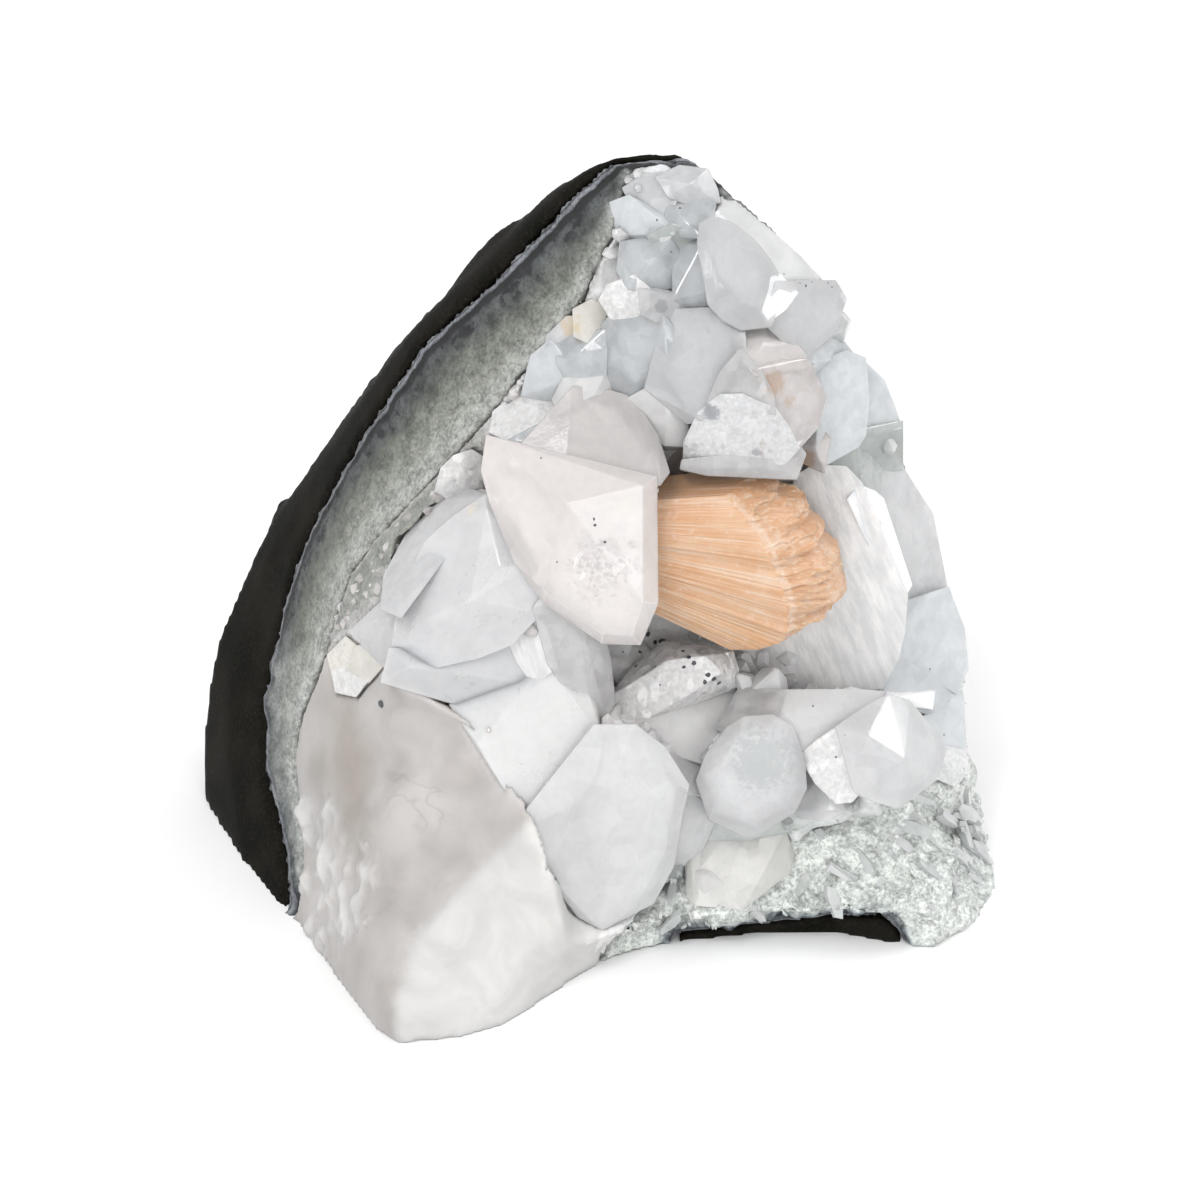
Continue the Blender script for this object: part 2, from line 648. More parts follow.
def milky_finish():
    """The milky heart: nearly even where it was ground, and broken up where crystals stand on it."""
    f = Finish("milky_apophyllite")
    rough = f.math("SUBTRACT", 1.0, f.attribute("ground", "Fac"))
    veil = f.noise(7, 6, 0.6, 0.8)
    layers = f.noise(2.2, 3, 0.5, place=f.stretched((0.3, 0.3, 1)))
    colour = f.mix(f.remap(veil, 0.3, 0.7), (0.53, 0.53, 0.53), (0.63, 0.63, 0.63))
    colour = f.mix(f.remap(layers, 0.3, 0.9, 0, 0.3), colour, (0.65, 0.65, 0.65))
    broken = f.mix(f.remap(f.noise(0.9, 4, 0.7), 0.35, 0.65), (0.72, 0.72, 0.72), (0.86, 0.86, 0.86))
    colour = f.times(f.mix(rough, colour, broken), f.attribute("tint", "Color"))
    granular = f.attribute("granular", "Fac")
    grains, light = f.graininess(0.62)
    colour = f.times(colour, light, granular)
    from_crack = f.math("ABSOLUTE", f.math("SUBTRACT", f.noise(13, 3, 0.55, 0.4), 0.5))
    round_spot = f.remap(f.near(spot_seen(428, 782) / MM, 11), 0.1, 0.6, 0, 0.22)
    cracked = f.math("MULTIPLY", f.remap(from_crack, 0.0, 0.022, 1, 0), round_spot)
    colour = f.mix(cracked, colour, (0.20, 0.19, 0.19))
    f.set(Base_Color=colour, Roughness=f.remap(veil, 0.3, 0.7, 0.36, 0.55), Specular_IOR_Level=0.35)
    f.set(Transmission_Weight=0.05, Subsurface_Weight=0.6, **MILK)
    mixed = f.add("ShaderNodeMix", {0: rough, 4: f.own_normal(), 5: f.facets(2.2, 0.5)}, data_type="VECTOR")
    height = f.plus(f.noise(1.2, 5, 0.65), f.math("MULTIPLY", grains, granular), 3.0)
    f.set(Normal=f.bump(height, 0.3, 0.12, mixed.outputs[1]))
    return f.material


LIT_FOOT = ((606, 930), (620, 1000), (467, 1080), (398, 1060), (395, 1000), (420, 930), (470, 880), (560, 790),
            (600, 880))


def foot_tint(point, normal):
    """The ground foot: bright below, pinkish grey above, with a brown patch at its left and soft clouds."""
    cloud = fractal(point, 13 * MM, 5)
    if seen_within(LIT_FOOT, point, normal):
        return Vector((0.95, 0.94, 0.925)) * (1 + 0.05 * cloud)
    px, py = pixel_of(point)
    pinkish, greyer = Vector((0.76, 0.73, 0.715)), Vector((0.69, 0.65, 0.625))
    colour = pinkish.lerp(greyer, smoothstep(-0.3, 0.4, fractal(point, 7 * MM, 2)))
    brown = smoothstep(42, 8, abs(px - 350 - (py - 760) * 0.1) + abs(py - 765) * 0.22 + cloud * 16)
    colour = colour.lerp(Vector((0.54, 0.49, 0.44)), brown)
    if seen_within(BLOBS, point, normal):
        colour = colour.lerp(Vector((0.98, 0.97, 0.96)), smoothstep(-0.1, 0.35, fractal(point, 3.4 * MM, 3)))
    return colour * (1 + 0.16 * cloud)


def tint_at(point, normal=None):
    """Rose on the left, grey in the middle, and a cool green grey at the right and at the bottom."""
    if normal and point.x < 0 and point.z < 40 * MM:
        return foot_tint(point, normal)
    rose, grey, green = Vector((1.0, 0.955, 0.935)), Vector((0.955, 0.96, 0.965)), Vector((0.88, 0.925, 0.91))
    x, z = point.x / MM, point.z / MM
    colour = rose.lerp(grey, smoothstep(-15, 12, x))
    return colour.lerp(green, max(smoothstep(25, 55, x), smoothstep(30, 8, z) * smoothstep(0, 14, x)))


def with_attributes(piece, grains, tints):
    """Stores each point's place in its own crystal, and its tint."""
    store(piece, "grain", "FLOAT_VECTOR", [c for g in grains for c in g])
    store(piece, "tint", "FLOAT_COLOR", [c for t in tints for c in (*t, 1)])


# Clearness, share of milk, pale colours, roughness, tilt and size of the facets
MILKY = ((0.62, 0.62, 0.62), (0.69, 0.69, 0.69))
CLOUDY = ((0.75, 0.75, 0.75), (0.82, 0.82, 0.82))
CLEAR = ((0.95, 0.95, 0.95), (0.98, 0.98, 0.98))
FINISHES = {
    "clear": (0.68, 0.0, CLEAR, (0.0, 0.1), 0.16, 2.6),
    "smooth": (0.55, 0.0, CLEAR, (0.03, 0.14), 0.03, 5.0),
    "striated": (0.36, 0.0, CLEAR, (0.05, 0.12), 0.03, 5.0),
    "upright": (0.55, 0.0, CLEAR, (0.02, 0.08), 0.08, 2.0),
    "sparkling": (0.4, 0.0, CLEAR, (0.0, 0.08), 0.5, 0.8),
    "cloudy": (0.34, 0.2, CLOUDY, (0.1, 0.25), 0.12, 2.4),
    "milky": (0.1, 0.6, MILKY, (0.25, 0.4), 0.05, 4.0),
}
finishes = {kind: apophyllite_finish(kind, *values) for kind, values in FINISHES.items()}
print("finishes:", ", ".join(finishes))

# %% [markdown]
# ## Apophyllite: the large crystals
#
# An apophyllite crystal is a square prism whose corners are cut by steep pyramid faces, but in a crowd like
# this one the crystals fit together like a mosaic, and each is seen by one or two broad faces. So a crystal
# is given here by its outline as the camera sees it. Its face lies in the plane that best fits the solid
# behind that outline, raised points make ridges and tips, and the hull that reaches back into the stone is
# the crystal. Its edges get a fine bevel, because a real edge catches the light.

# %% The large crystals
EDGE_BEVEL = 0.12 * MM
# How far neighbours reach into each other, and how far a face's corner may come forward to meet nearer stone
OVERLAP = 0.9 * MM
STEP_LIMIT = 2.2 * MM
# How far a face stands before its plane, and how much of the heights in the table is used
FACE_RISE = 0.3
RIDGE_SHARE = 0.6
# The steepest slope of a face, and how much its slope varies at random, both as a share of one to one
STEEPEST = 1.2
TILT = 0.09
ROSE, GREY, BLUE = (1.0, 0.95, 0.93), (0.955, 0.955, 0.96), (0.90, 0.935, 0.96)
GREEN, PALE, CREAM, BROWN = (0.84, 0.89, 0.86), (1.0, 0.99, 0.985), (1.0, 0.965, 0.89), (0.86, 0.76, 0.72)
DIM, DIM_ROSE, MILD = (0.77, 0.775, 0.785), (0.82, 0.785, 0.77), (0.86, 0.86, 0.87)
BRIGHT = (1.3, 1.3, 1.31)
# Finish, tint, outline in pixels, and points that rise from the face, with their height in millimetres
LARGE_CRYSTALS = (
    # The top
    ("clear", BLUE, ((670, 203), (690, 200), (712, 206), (706, 222), (700, 234), (684, 232), (670, 224)),
     ((692, 215, 1),)),
    ("cloudy", DIM, ((660, 172), (682, 163), (705, 172), (713, 188), (716, 200), (690, 200), (672, 195)),
     ((690, 185, 1),)),
    ("cloudy", DIM, ((628, 190), (645, 180), (660, 176), (672, 196), (668, 215), (655, 222), (640, 212)),
     ((650, 200, 1),)),
    ("cloudy", BLUE, ((615, 205), (632, 200), (655, 222), (668, 218), (670, 232), (652, 240), (622, 232)),
     ((645, 225, 0.8),)),
    ("clear", GREEN, ((652, 236), (672, 228), (692, 234), (690, 240), (676, 248), (660, 250)), ()),
    ("smooth", DIM, ((703, 228), (716, 222), (735, 230), (752, 245), (765, 262), (780, 285), (775, 300),
     (768, 322), (740, 324), (725, 315), (712, 300), (717, 285), (702, 247)), ((745, 290, 0.8),)),
    ("smooth", DIM, ((778, 284), (793, 294), (812, 287), (832, 284), (843, 300), (837, 315), (832, 332),
     (805, 354), (796, 348), (782, 334), (768, 322), (775, 300)), ((806, 312, 1.2),)),
    ("milky", BRIGHT, ((772, 282), (779, 280), (793, 294), (782, 305), (769, 318), (765, 308)),
     ((780, 294, 1.6),)),
    # The upper left of the cavity
    ("clear", BLUE, ((625, 245), (650, 242), (668, 243), (676, 252), (680, 268), (672, 282), (650, 289),
     (632, 285), (622, 270)), ((650, 262, 2),)),
    ("clear", BLUE, ((676, 252), (690, 240), (702, 247), (717, 285), (712, 293), (700, 306), (684, 308),
     (676, 296), (680, 268)), ((695, 252, 1.4), (711, 289, 1.2))),
    ("sparkling", PALE, ((604, 300), (612, 288), (632, 280), (645, 290), (643, 305), (632, 314), (615, 318)),
     ((622, 297, 1.5),)),
    ("clear", GREY, ((643, 292), (655, 293), (666, 300), (676, 296), (684, 308), (672, 316), (658, 317),
     (646, 312)), ((662, 305, 0.8),)),
    ("cloudy", CREAM, ((578, 312), (592, 305), (602, 310), (607, 318), (604, 330), (590, 338), (578, 333)),
     ((592, 320, 1.3),)),
    ("cloudy", MILD, ((552, 335), (566, 322), (578, 320), (578, 333), (575, 338), (562, 346), (550, 345)),
     ((566, 334, 0.8),)),
    ("clear", BLUE, ((562, 345), (575, 337), (602, 334), (602, 352), (602, 372), (585, 382), (570, 378),
     (562, 362)), ((580, 352, 1.5),)),
    ("cloudy", BLUE, ((535, 360), (550, 345), (562, 346), (562, 362), (568, 378), (556, 398), (540, 396),
     (525, 392)), ((548, 372, 1.2),)),
    ("cloudy", PALE, ((569, 379), (585, 382), (602, 372), (608, 396), (590, 393), (575, 391), (563, 410),
     (557, 398)), ((585, 388, 0.7),)),
    ("clear", BLUE, ((602, 332), (615, 318), (632, 314), (660, 318), (669, 330), (670, 345), (662, 365),
     (648, 386), (622, 398), (608, 396), (602, 372)), ((640, 340, 1.6), (625, 365, 1.2))),
    ("smooth", DIM, ((666, 318), (675, 315), (724, 312), (740, 332), (741, 354), (725, 375), (712, 400),
     (702, 414), (688, 418), (680, 402), (668, 392), (650, 386), (662, 365), (670, 345)), ((722, 318, 1.2),
     (733, 345, 1.2), (690, 340, 1))),
    ("smooth", ROSE, ((740, 325), (768, 322), (784, 336), (798, 350), (806, 364), (775, 366), (757, 373),
     (748, 362), (741, 350)), ((775, 345, 1),)),
    ("clear", ROSE, ((757, 373), (775, 366), (806, 364), (822, 398), (815, 424), (795, 447), (782, 426),
     (768, 394)), ((770, 394, 1.3), (793, 440, 1), (800, 385, 1.4))),
    ("clear", GREY, ((712, 400), (725, 375), (741, 354), (757, 373), (768, 394), (771, 411), (742, 399),
     (722, 399)), ((742, 380, 1),)),
    ("sparkling", MILD, ((688, 460), (690, 441), (703, 415), (722, 399), (742, 399), (771, 411), (783, 428),
     (794, 447), (780, 461), (760, 464), (720, 463)), ((706, 424, 1.5), (748, 406, 1.5))),
    ("clear", GREY, ((688, 460), (720, 463), (760, 464), (780, 461), (794, 447), (800, 455), (791, 478),
     (746, 473), (713, 474), (686, 469)), ((760, 467, 1),)),
    ("clear", ROSE, ((815, 424), (826, 440), (822, 468), (804, 458), (796, 447)), ((814, 445, 1),)),
    # The right
    ("cloudy", BLUE, ((806, 362), (824, 340), (838, 340), (853, 357), (846, 356), (826, 364), (812, 374)), ()),
    ("cloudy", BLUE, ((812, 374), (826, 364), (846, 356), (863, 363), (864, 400), (862, 432), (856, 442),
     (828, 459), (818, 452), (826, 436), (822, 398)), ((848, 385, 1.4), (836, 430, 1))),
    ("cloudy", BLUE, ((863, 363), (883, 386), (890, 405), (899, 425), (880, 428), (862, 432), (864, 400)), ()),
    ("clear", GREEN, ((862, 432), (880, 428), (899, 425), (901, 468), (880, 470), (866, 455), (856, 442)),
     ((880, 450, 1),)),
    ("clear", GREEN, ((820, 468), (828, 459), (856, 442), (866, 455), (880, 470), (872, 478), (876, 496),
     (861, 489), (846, 472)), ((850, 464, 0.8),)),
    ("cloudy", MILD, ((876, 496), (872, 478), (880, 470), (901, 468), (911, 492), (930, 516), (932, 540),
     (947, 592), (930, 600), (905, 606), (910, 581), (897, 549), (884, 505)), ((905, 500, 1),
     (922, 555, 1.2))),
    ("milky", BRIGHT, ((850, 503), (861, 489), (877, 497), (884, 505), (898, 549), (910, 581), (902, 595),
     (892, 585), (875, 551)), ((866, 500, 0.8), (900, 582, 0.8))),
    ("striated", PALE, ((798, 480), (815, 470), (846, 472), (861, 489), (850, 503), (875, 551), (892, 585),
     (902, 595), (900, 630), (895, 655), (880, 684), (820, 691), (733, 691), (735, 655), (770, 636),
     (800, 600), (810, 540)), ((765, 648, 0.8), (862, 640, 1.8), (845, 520, 1.4))),
    ("cloudy", BLUE, ((900, 630), (905, 606), (930, 600), (947, 592), (960, 630), (965, 665), (955, 690),
     (936, 662), (896, 656)), ((930, 630, 1.2),)),
    ("smooth", BLUE, ((882, 690), (880, 682), (896, 658), (936, 662), (953, 690), (947, 712), (930, 712),
     (905, 704)), ((885, 691, 1), (931, 691, 1.6))),
    ("milky", BRIGHT, ((884, 691), (932, 691), (929, 708), (905, 703), (889, 699)), ((908, 696, 4),)),
    ("cloudy", BLUE, ((930, 712), (947, 712), (955, 690), (962, 700), (963, 742), (950, 748), (938, 738),
     (925, 722)), ((946, 725, 1),)),
    ("sparkling", GREY, ((941, 748), (963, 742), (966, 768), (955, 782), (936, 775)), ((950, 758, 1),)),
    # The lower right
    ("clear", GREY, ((732, 706), (740, 691), (782, 692), (770, 718), (745, 722), (730, 732), (720, 725)), ()),
    ("smooth", GREY, ((770, 718), (772, 708), (785, 693), (850, 692), (882, 693), (868, 711), (840, 728),
     (806, 752), (790, 731)), ((812, 712, 1.4),)),
    ("sparkling", PALE, ((804, 757), (820, 745), (840, 730), (866, 735), (868, 776), (850, 797), (836, 798),
     (820, 780)), ((850, 762, 1.6),)),
    ("smooth", MILD, ((840, 729), (868, 711), (889, 700), (908, 706), (934, 736), (942, 750), (934, 776),
     (910, 788), (898, 803), (874, 796), (857, 788), (868, 775), (866, 735)), ((868, 736, 3.5), (905, 759, 6),
     (930, 772, 2.4))),
    ("smooth", MILD, ((730, 732), (745, 722), (771, 720), (790, 731), (799, 762), (801, 787), (791, 808),
     (757, 831), (747, 832), (713, 816), (702, 780), (711, 757)), ((738, 738, 4), (770, 732, 4),
     (786, 765, 4.4), (778, 798, 4), (748, 814, 3.6), (720, 795, 4), (720, 765, 4))),
    ("cloudy", GREY, ((799, 762), (806, 757), (820, 780), (836, 798), (842, 808), (824, 816), (800, 813),
     (791, 808), (801, 787)), ((812, 795, 1),)),
    ("cloudy", GREEN, ((713, 816), (747, 832), (791, 808), (822, 814), (800, 826), (780, 834), (745, 838),
     (715, 848), (700, 842)), ()),
    ("cloudy", (0.93, 0.92, 0.88), ((694, 846), (745, 837), (782, 834), (788, 855), (785, 872), (760, 886),
     (742, 904), (700, 902), (690, 894), (696, 865)), ((755, 850, 1.5), (720, 880, 1.2))),
    ("smooth", PALE, ((690, 868), (702, 864), (718, 867), (722, 882), (704, 892), (691, 889)),
     ((704, 876, 2.4),)),
    # The middle, round the small dark cavity
    ("cloudy", PALE, ((600, 640), (636, 640), (648, 655), (640, 672), (622, 684), (612, 676), (606, 660)), ()),
    ("sparkling", PALE, ((612, 698), (636, 671), (665, 647), (700, 650), (728, 654), (733, 671), (731, 687),
     (703, 697), (672, 704), (645, 706), (629, 728)), ((668, 660, 9), (705, 656, 9), (722, 672, 8),
     (650, 690, 7), (690, 694, 7))),
    ("smooth", PALE, ((629, 728), (645, 706), (672, 704), (703, 697), (731, 687), (733, 706), (720, 725),
     (712, 745), (704, 760), (680, 746), (655, 745)), ((682, 722, 1.6),)),
    ("smooth", GREY, ((655, 745), (680, 746), (704, 760), (702, 780), (698, 792), (683, 788), (665, 762)), ()),
    ("cloudy", GREY, ((683, 788), (698, 792), (704, 812), (713, 818), (700, 842), (696, 860), (670, 863),
     (676, 820)), ((690, 825, 1),)),
    ("smooth", GREY, ((595, 730), (635, 730), (662, 752), (684, 788), (676, 820), (670, 863), (652, 899),
     (634, 902), (603, 925), (580, 912), (548, 868), (532, 810), (575, 790), (592, 765)), ((622, 760, 2),
     (655, 800, 2.6), (628, 868, 2.4), (592, 850, 1.6))),
    ("clear", GREY, ((545, 597), (575, 605), (600, 638), (606, 660), (612, 698), (606, 722), (592, 722),
     (590, 690), (578, 668), (553, 663), (545, 625), (536, 612)), ((598, 650, 1.2),)),
    ("milky", (0.92, 0.915, 0.91), ((532, 684), (545, 668), (575, 665), (586, 680), (592, 705), (595, 735),
     (592, 765), (575, 795), (538, 815), (508, 785), (484, 742), (455, 706), (500, 696)), ((552, 690, 2),
     (565, 745, 2.2), (520, 730, 1.6))),
    # The large upright crystal beside the sheaf, and the one above it
    ("upright", ROSE, ((490, 440), (510, 460), (566, 496), (652, 480), (653, 600), (645, 606), (637, 640),
     (600, 638), (545, 597), (520, 560), (495, 505), (486, 475)), ((566, 504, 7), (547, 594, 5),
     (643, 486, 6.5), (643, 602, 6), (602, 634, 4.5), (632, 636, 4.5))),
    ("smooth", DIM_ROSE, ((510, 460), (540, 456), (557, 452), (556, 430), (562, 410), (575, 392), (608, 396),
     (624, 400), (640, 418), (652, 436), (664, 470), (655, 482), (605, 488), (566, 503)), ((648, 440, 1),)),
    ("cloudy", PALE, ((624, 400), (650, 386), (668, 392), (680, 402), (688, 418), (690, 441), (687, 447),
     (664, 446), (652, 436), (640, 418)), ((624, 400, 12), (650, 386, 16), (668, 392, 17), (680, 402, 17),
     (688, 418, 17), (690, 441, 17), (687, 447, 17), (664, 446, 17), (652, 436, 16), (640, 418, 14),
     (668, 412, 19))),
    ("sparkling", PALE, ((660, 432), (680, 434), (688, 446), (676, 460), (666, 470), (658, 455)),
     ((672, 446, 1),)),
    ("clear", BROWN, ((664, 480), (668, 462), (688, 446), (687, 470), (684, 478)), ()),
    ("sparkling", PALE, ((498, 412), (520, 396), (540, 396), (560, 403), (555, 425), (538, 432), (514, 440),
     (494, 430)), ((530, 412, 1.2),)),
    ("clear", BLUE, ((514, 440), (538, 431), (557, 426), (558, 445), (554, 458), (535, 456)),
     ((542, 442, 0.8),)),
    # The milky pyramid in front, and what lies round it
    ("milky", MILD, ((485, 500), (500, 522), (530, 567), (546, 598), (536, 612), (508, 640), (478, 652),
     (440, 662), (395, 650), (402, 612), (415, 575), (430, 545), (455, 522)), ((486, 508, 2.5), (500, 566, 6),
     (470, 600, 7), (424, 620, 3.5))),
    ("striated", PALE, ((508, 640), (528, 614), (544, 626), (553, 663), (532, 684), (515, 666)),
     ((530, 648, 1.4),)),
    ("milky", DIM, ((387, 682), (395, 650), (440, 662), (478, 652), (508, 640), (515, 666), (532, 684),
     (500, 698), (466, 702), (440, 686)), ((460, 676, 1.8), (410, 668, 1.4))),
    ("sparkling", PALE, ((440, 488), (446, 470), (456, 460), (470, 455), (481, 462), (482, 482), (468, 496),
     (452, 496)), ((462, 474, 1.6),)),
    ("sparkling", CREAM, ((330, 655), (345, 642), (358, 650), (350, 668), (334, 672)), ((344, 656, 2),)),
    ("cloudy", CREAM, ((358, 650), (372, 646), (384, 662), (368, 678), (350, 668)), ((368, 662, 2.4),)),
    ("sparkling", PALE, ((334, 672), (350, 668), (368, 678), (354, 692), (338, 690)), ((352, 678, 1.6),)),
    ("cloudy", MILD, ((388, 572), (408, 536), (438, 505), (464, 492), (487, 500), (456, 523), (431, 546),
     (416, 576), (403, 613), (384, 604)), ((440, 520, 4), (412, 560, 4), (396, 596, 3))),
    ("cloudy", MILD, ((352, 632), (384, 604), (403, 613), (396, 652), (384, 662), (372, 646)),
     ((384, 630, 2),)),
)

print(len(LARGE_CRYSTALS), "outlines")

# %% [markdown]
# Every random draw comes from one source with a fixed seed, so the crystals are the same each time. The plane
# of a face is fitted twice more without the points that lie far from it, since those belong to other faces.

# %% The shape of a large crystal
rng = random.Random(11)


def random_vector(reach):
    return Vector(rng.uniform(-reach, reach) for _ in range(3))


def best_plane(outline):
    """How the distance from the camera changes over an outline: its value at 0, 0 and its two slopes."""
    cx = sum(x for x, _ in outline) / len(outline)
    cy = sum(y for _, y in outline) / len(outline)
    seen = []
    for x, y in outline:
        for share in (0.2, 0.5, 0.75, 0.95):
            px, py = cx + (x - cx) * share, cy + (y - cy) * share
            distance = distance_seen(px, py)
            if distance:
                seen.append((px - cx, py - cy, distance))
    for _ in range(3):
        rows = numpy.array([(1, x, y) for x, y, _ in seen])
        depths = numpy.array([d for _, _, d in seen])
        plane = numpy.linalg.lstsq(rows, depths, rcond=None)[0]
        misses = abs(rows @ plane - depths)
        limit = max(numpy.median(misses) * 2.5, 0.3 * MM)
        seen = [row for row, miss in zip(seen, misses) if miss <= limit]
    steepest = STEEPEST * FRAME_WIDTH / FRAME_PIXELS
    slopes = [min(max(slope, -steepest), steepest) + rng.uniform(-TILT, TILT) * steepest for slope in plane[1:]]
    return lambda px, py: plane[0] + slopes[0] * (px - cx) + slopes[1] * (py - cy)


def crystal_points(outline, raised):
    """The corners of a crystal: its face, its raised points and what reaches back into the stone."""
    distance = best_plane(outline)
    face = []
    for x, y in outline:
        reach = distance(x, y)
        nearer = distance_seen(x, y) or reach
        reach -= min(max(reach - nearer, 0), STEP_LIMIT) + FACE_RISE * MM
        face.append(camera.location + sight(x, y) * reach)
    tips = [camera.location + sight(x, y) * (distance(x, y) - (FACE_RISE + rise * RIDGE_SHARE) * MM)
            for x, y, rise in raised]
    middle = sum(face, Vector()) / len(face)
    face = [p + (p - middle).normalized() * OVERLAP for p in face]
    size = max((p - middle).length for p in face)
    reach = min(max(size, 3 * MM), 10 * MM)
    root = [middle + (p - middle) * 0.96 - back * reach for p in face]
    return face + tips + root


def bevelled_hull(points):
    """The convex crystal round some points, with its edges bevelled, and the planes of its faces."""
    bm = bmesh.new()
    for p in points:
        bm.verts.new(p)
    made = bmesh.ops.convex_hull(bm, input=bm.verts)
    spare = [v for v in made["geom_interior"] + made["geom_unused"] if isinstance(v, bmesh.types.BMVert)]
    bmesh.ops.delete(bm, geom=list(set(spare)), context="VERTS")
    bmesh.ops.dissolve_limit(bm, angle_limit=math.radians(3), verts=bm.verts, edges=bm.edges)
    bmesh.ops.recalc_face_normals(bm, faces=bm.faces)
    bm.normal_update()
    planes = numpy.array([(*face.normal, -face.normal.dot(face.verts[0].co)) for face in bm.faces])
    bevel_edges(bm, EDGE_BEVEL)
    return bm, planes


def depths_inside(points, planes):
    """How deep each of these points lies inside a convex crystal, or less than 0 outside it."""
    return -(numpy.asarray(points) @ planes[:, :3].T + planes[:, 3]).max(axis=1)


def grain_of(bm):
    """Coordinates of a crystal's own: shifted at random, and turned so that its growth lines lean a little."""
    own = random_vector(1)
    lean = Matrix.Rotation(rng.uniform(-0.4, 0.4), 3, "Y") @ Matrix.Rotation(rng.uniform(-0.3, 0.3), 3, "X")
    return [lean @ v.co + own for v in bm.verts]


def joined(parts):
    """One bmesh of several, with the grain coordinates and tints of their points."""
    whole, grains, tints = bmesh.new(), [], []
    for bm, grain, tint in parts:
        mesh = mesh_of(bm, "part")
        whole.from_mesh(mesh)
        grains += grain
        tints += tint
        bpy.data.meshes.remove(mesh)
    return whole, grains, tints


# %% [markdown]
# Now every outline becomes a crystal. The planes of its faces are kept, to tell later what lies inside it.

# %% Making the large crystals
parts = {name: [] for name in FINISHES}
large = []
for clarity, tint, outline, raised in LARGE_CRYSTALS:
    bm, planes = bevelled_hull(crystal_points(outline, raised))
    large.append((clarity, planes, outline))
    parts[clarity].append((bm, grain_of(bm), [Vector(tint)] * len(bm.verts)))
print(sum(map(len, parts.values())), "large crystals")

# %% [markdown]
# ## Apophyllite: the small crystals
#
# Between the large crystals stand hundreds of small ones. They share a few bevelled forms: a square prism
# with its steep pyramid faces, more or less blunt.

# %% The small crystals
PYRAMID_ANGLE = math.radians(60.4)
SMALL_BEVEL = 0.035
# Smallest and largest width in millimetres, and how many places are tried: a few larger ones come first
SMALL_SIZES = ((4.5, 7.0, 1500), (1.8, 4.0, 12000))
GRAIN_SIZES = ((0.7, 1.9, 16000),)
# Fine crystals spread this many pixels past the edge of the cavity
GRAIN_SPREAD = 46


def small_form(blunt, flatness):
    """A small crystal of width 1 whose pyramid starts at z = 0 and points up."""
    bm = bmesh.new()
    bmesh.ops.create_cube(bm, size=1)
    height = math.tan(PYRAMID_ANGLE) / math.sqrt(2)
    top = height * (1 - blunt)
    bmesh.ops.scale(bm, vec=(1, flatness, 2.2), verts=bm.verts)
    bmesh.ops.translate(bm, vec=(0, 0, top - 1.1), verts=bm.verts)
    tip = Vector((0, 0, height))
    for k in range(4):
        turn = math.radians(45 + 90 * k)
        normal = Vector((math.cos(turn), math.sin(turn), 0)) * math.sin(PYRAMID_ANGLE)
        normal.z = math.cos(PYRAMID_ANGLE)
        block = bm.verts[:] + bm.edges[:] + bm.faces[:]
        cut = bmesh.ops.bisect_plane(bm, geom=block, plane_co=tip, plane_no=normal, clear_outer=True)
        rim = [e for e in cut["geom_cut"] if isinstance(e, bmesh.types.BMEdge)]
        bmesh.ops.holes_fill(bm, edges=rim, sides=0)
    bmesh.ops.recalc_face_normals(bm, faces=bm.faces)
    bevel_edges(bm, SMALL_BEVEL)
    return mesh_of(bm, "small_form")


forms = [small_form(blunt, flatness) for blunt in (0.1, 0.3, 0.5) for flatness in (1.0, 0.75)]
print(len(forms), "forms of", len(forms[0].polygons), "faces")

# %% [markdown]
# A small crystal is put where the stone carries crystals and no larger one covers the place. Fine ones also run
# out over the edge of the cavity, fewer and fewer towards the rind.

# %% Placing the small crystals
def small_crystal(form, spot, axis, twist, width):
    """A copy of a form at its place, with its grain coordinates and tints."""
    bm = bmesh.new()
    bm.from_mesh(form)
    turn = Vector((0, 0, 1)).rotation_difference(axis).to_matrix() @ Matrix.Rotation(twist, 3, "Z")
    bmesh.ops.transform(bm, matrix=Matrix.Translation(spot) @ (turn * width).to_4x4(), verts=bm.verts)
    return bm, grain_of(bm), [tint_at(v.co) for v in bm.verts]


def surface_points(bm, count):
    """Random points of a surface with their normals, spread evenly over its area."""
    faces = list(bm.faces)
    areas = [f.calc_area() for f in faces]
    for face in rng.choices(faces, areas, k=count):
        a, b, c = (v.co for v in face.verts[:3])
        s, t = sorted((rng.random(), rng.random()))
        yield a * s + b * (t - s) + c * (1 - t), face.normal.copy()


def covered_at(spot):
    """How deep a spot lies inside the deepest of the large crystals round it."""
    return max(depths_inside([spot], planes)[0] for _, planes, _ in large)


def carries_crystals(spot, normal):
    """Crystals stand in the cavity, and not on what was ground smooth, broken or is under the sheaf."""
    if normal.y > 0.35 or spot.z < 9 * MM or normal.z < -0.7:
        return False
    if seen_within(GROUND_TOP, spot, normal):
        return False
    if normal.dot(back) > FACING:
        return seen_within(CRYSTAL_FIELD, spot, normal)
    return spot.x > 20 * MM


def on_rind(point, normal):
    """Whether the camera sees a point of the milky heart where the photo shows rind, so that it stands out."""
    if normal.dot(back) < FACING or point.z < 36 * MM or point.x > 6 * MM:
        return False
    return not any(seen_within(outline, point, normal) for outline in (CRYSTAL_FIELD, GROUND_FOOT))


def carries_grains(spot, normal):
    """Fine crystals also stand past the edge of the cavity, fewer and fewer towards the rind."""
    if not on_rind(spot, normal):
        return False
    return pixels_outside(CRYSTAL_FIELD, *pixel_of(spot)) < rng.uniform(0, GRAIN_SPREAD)


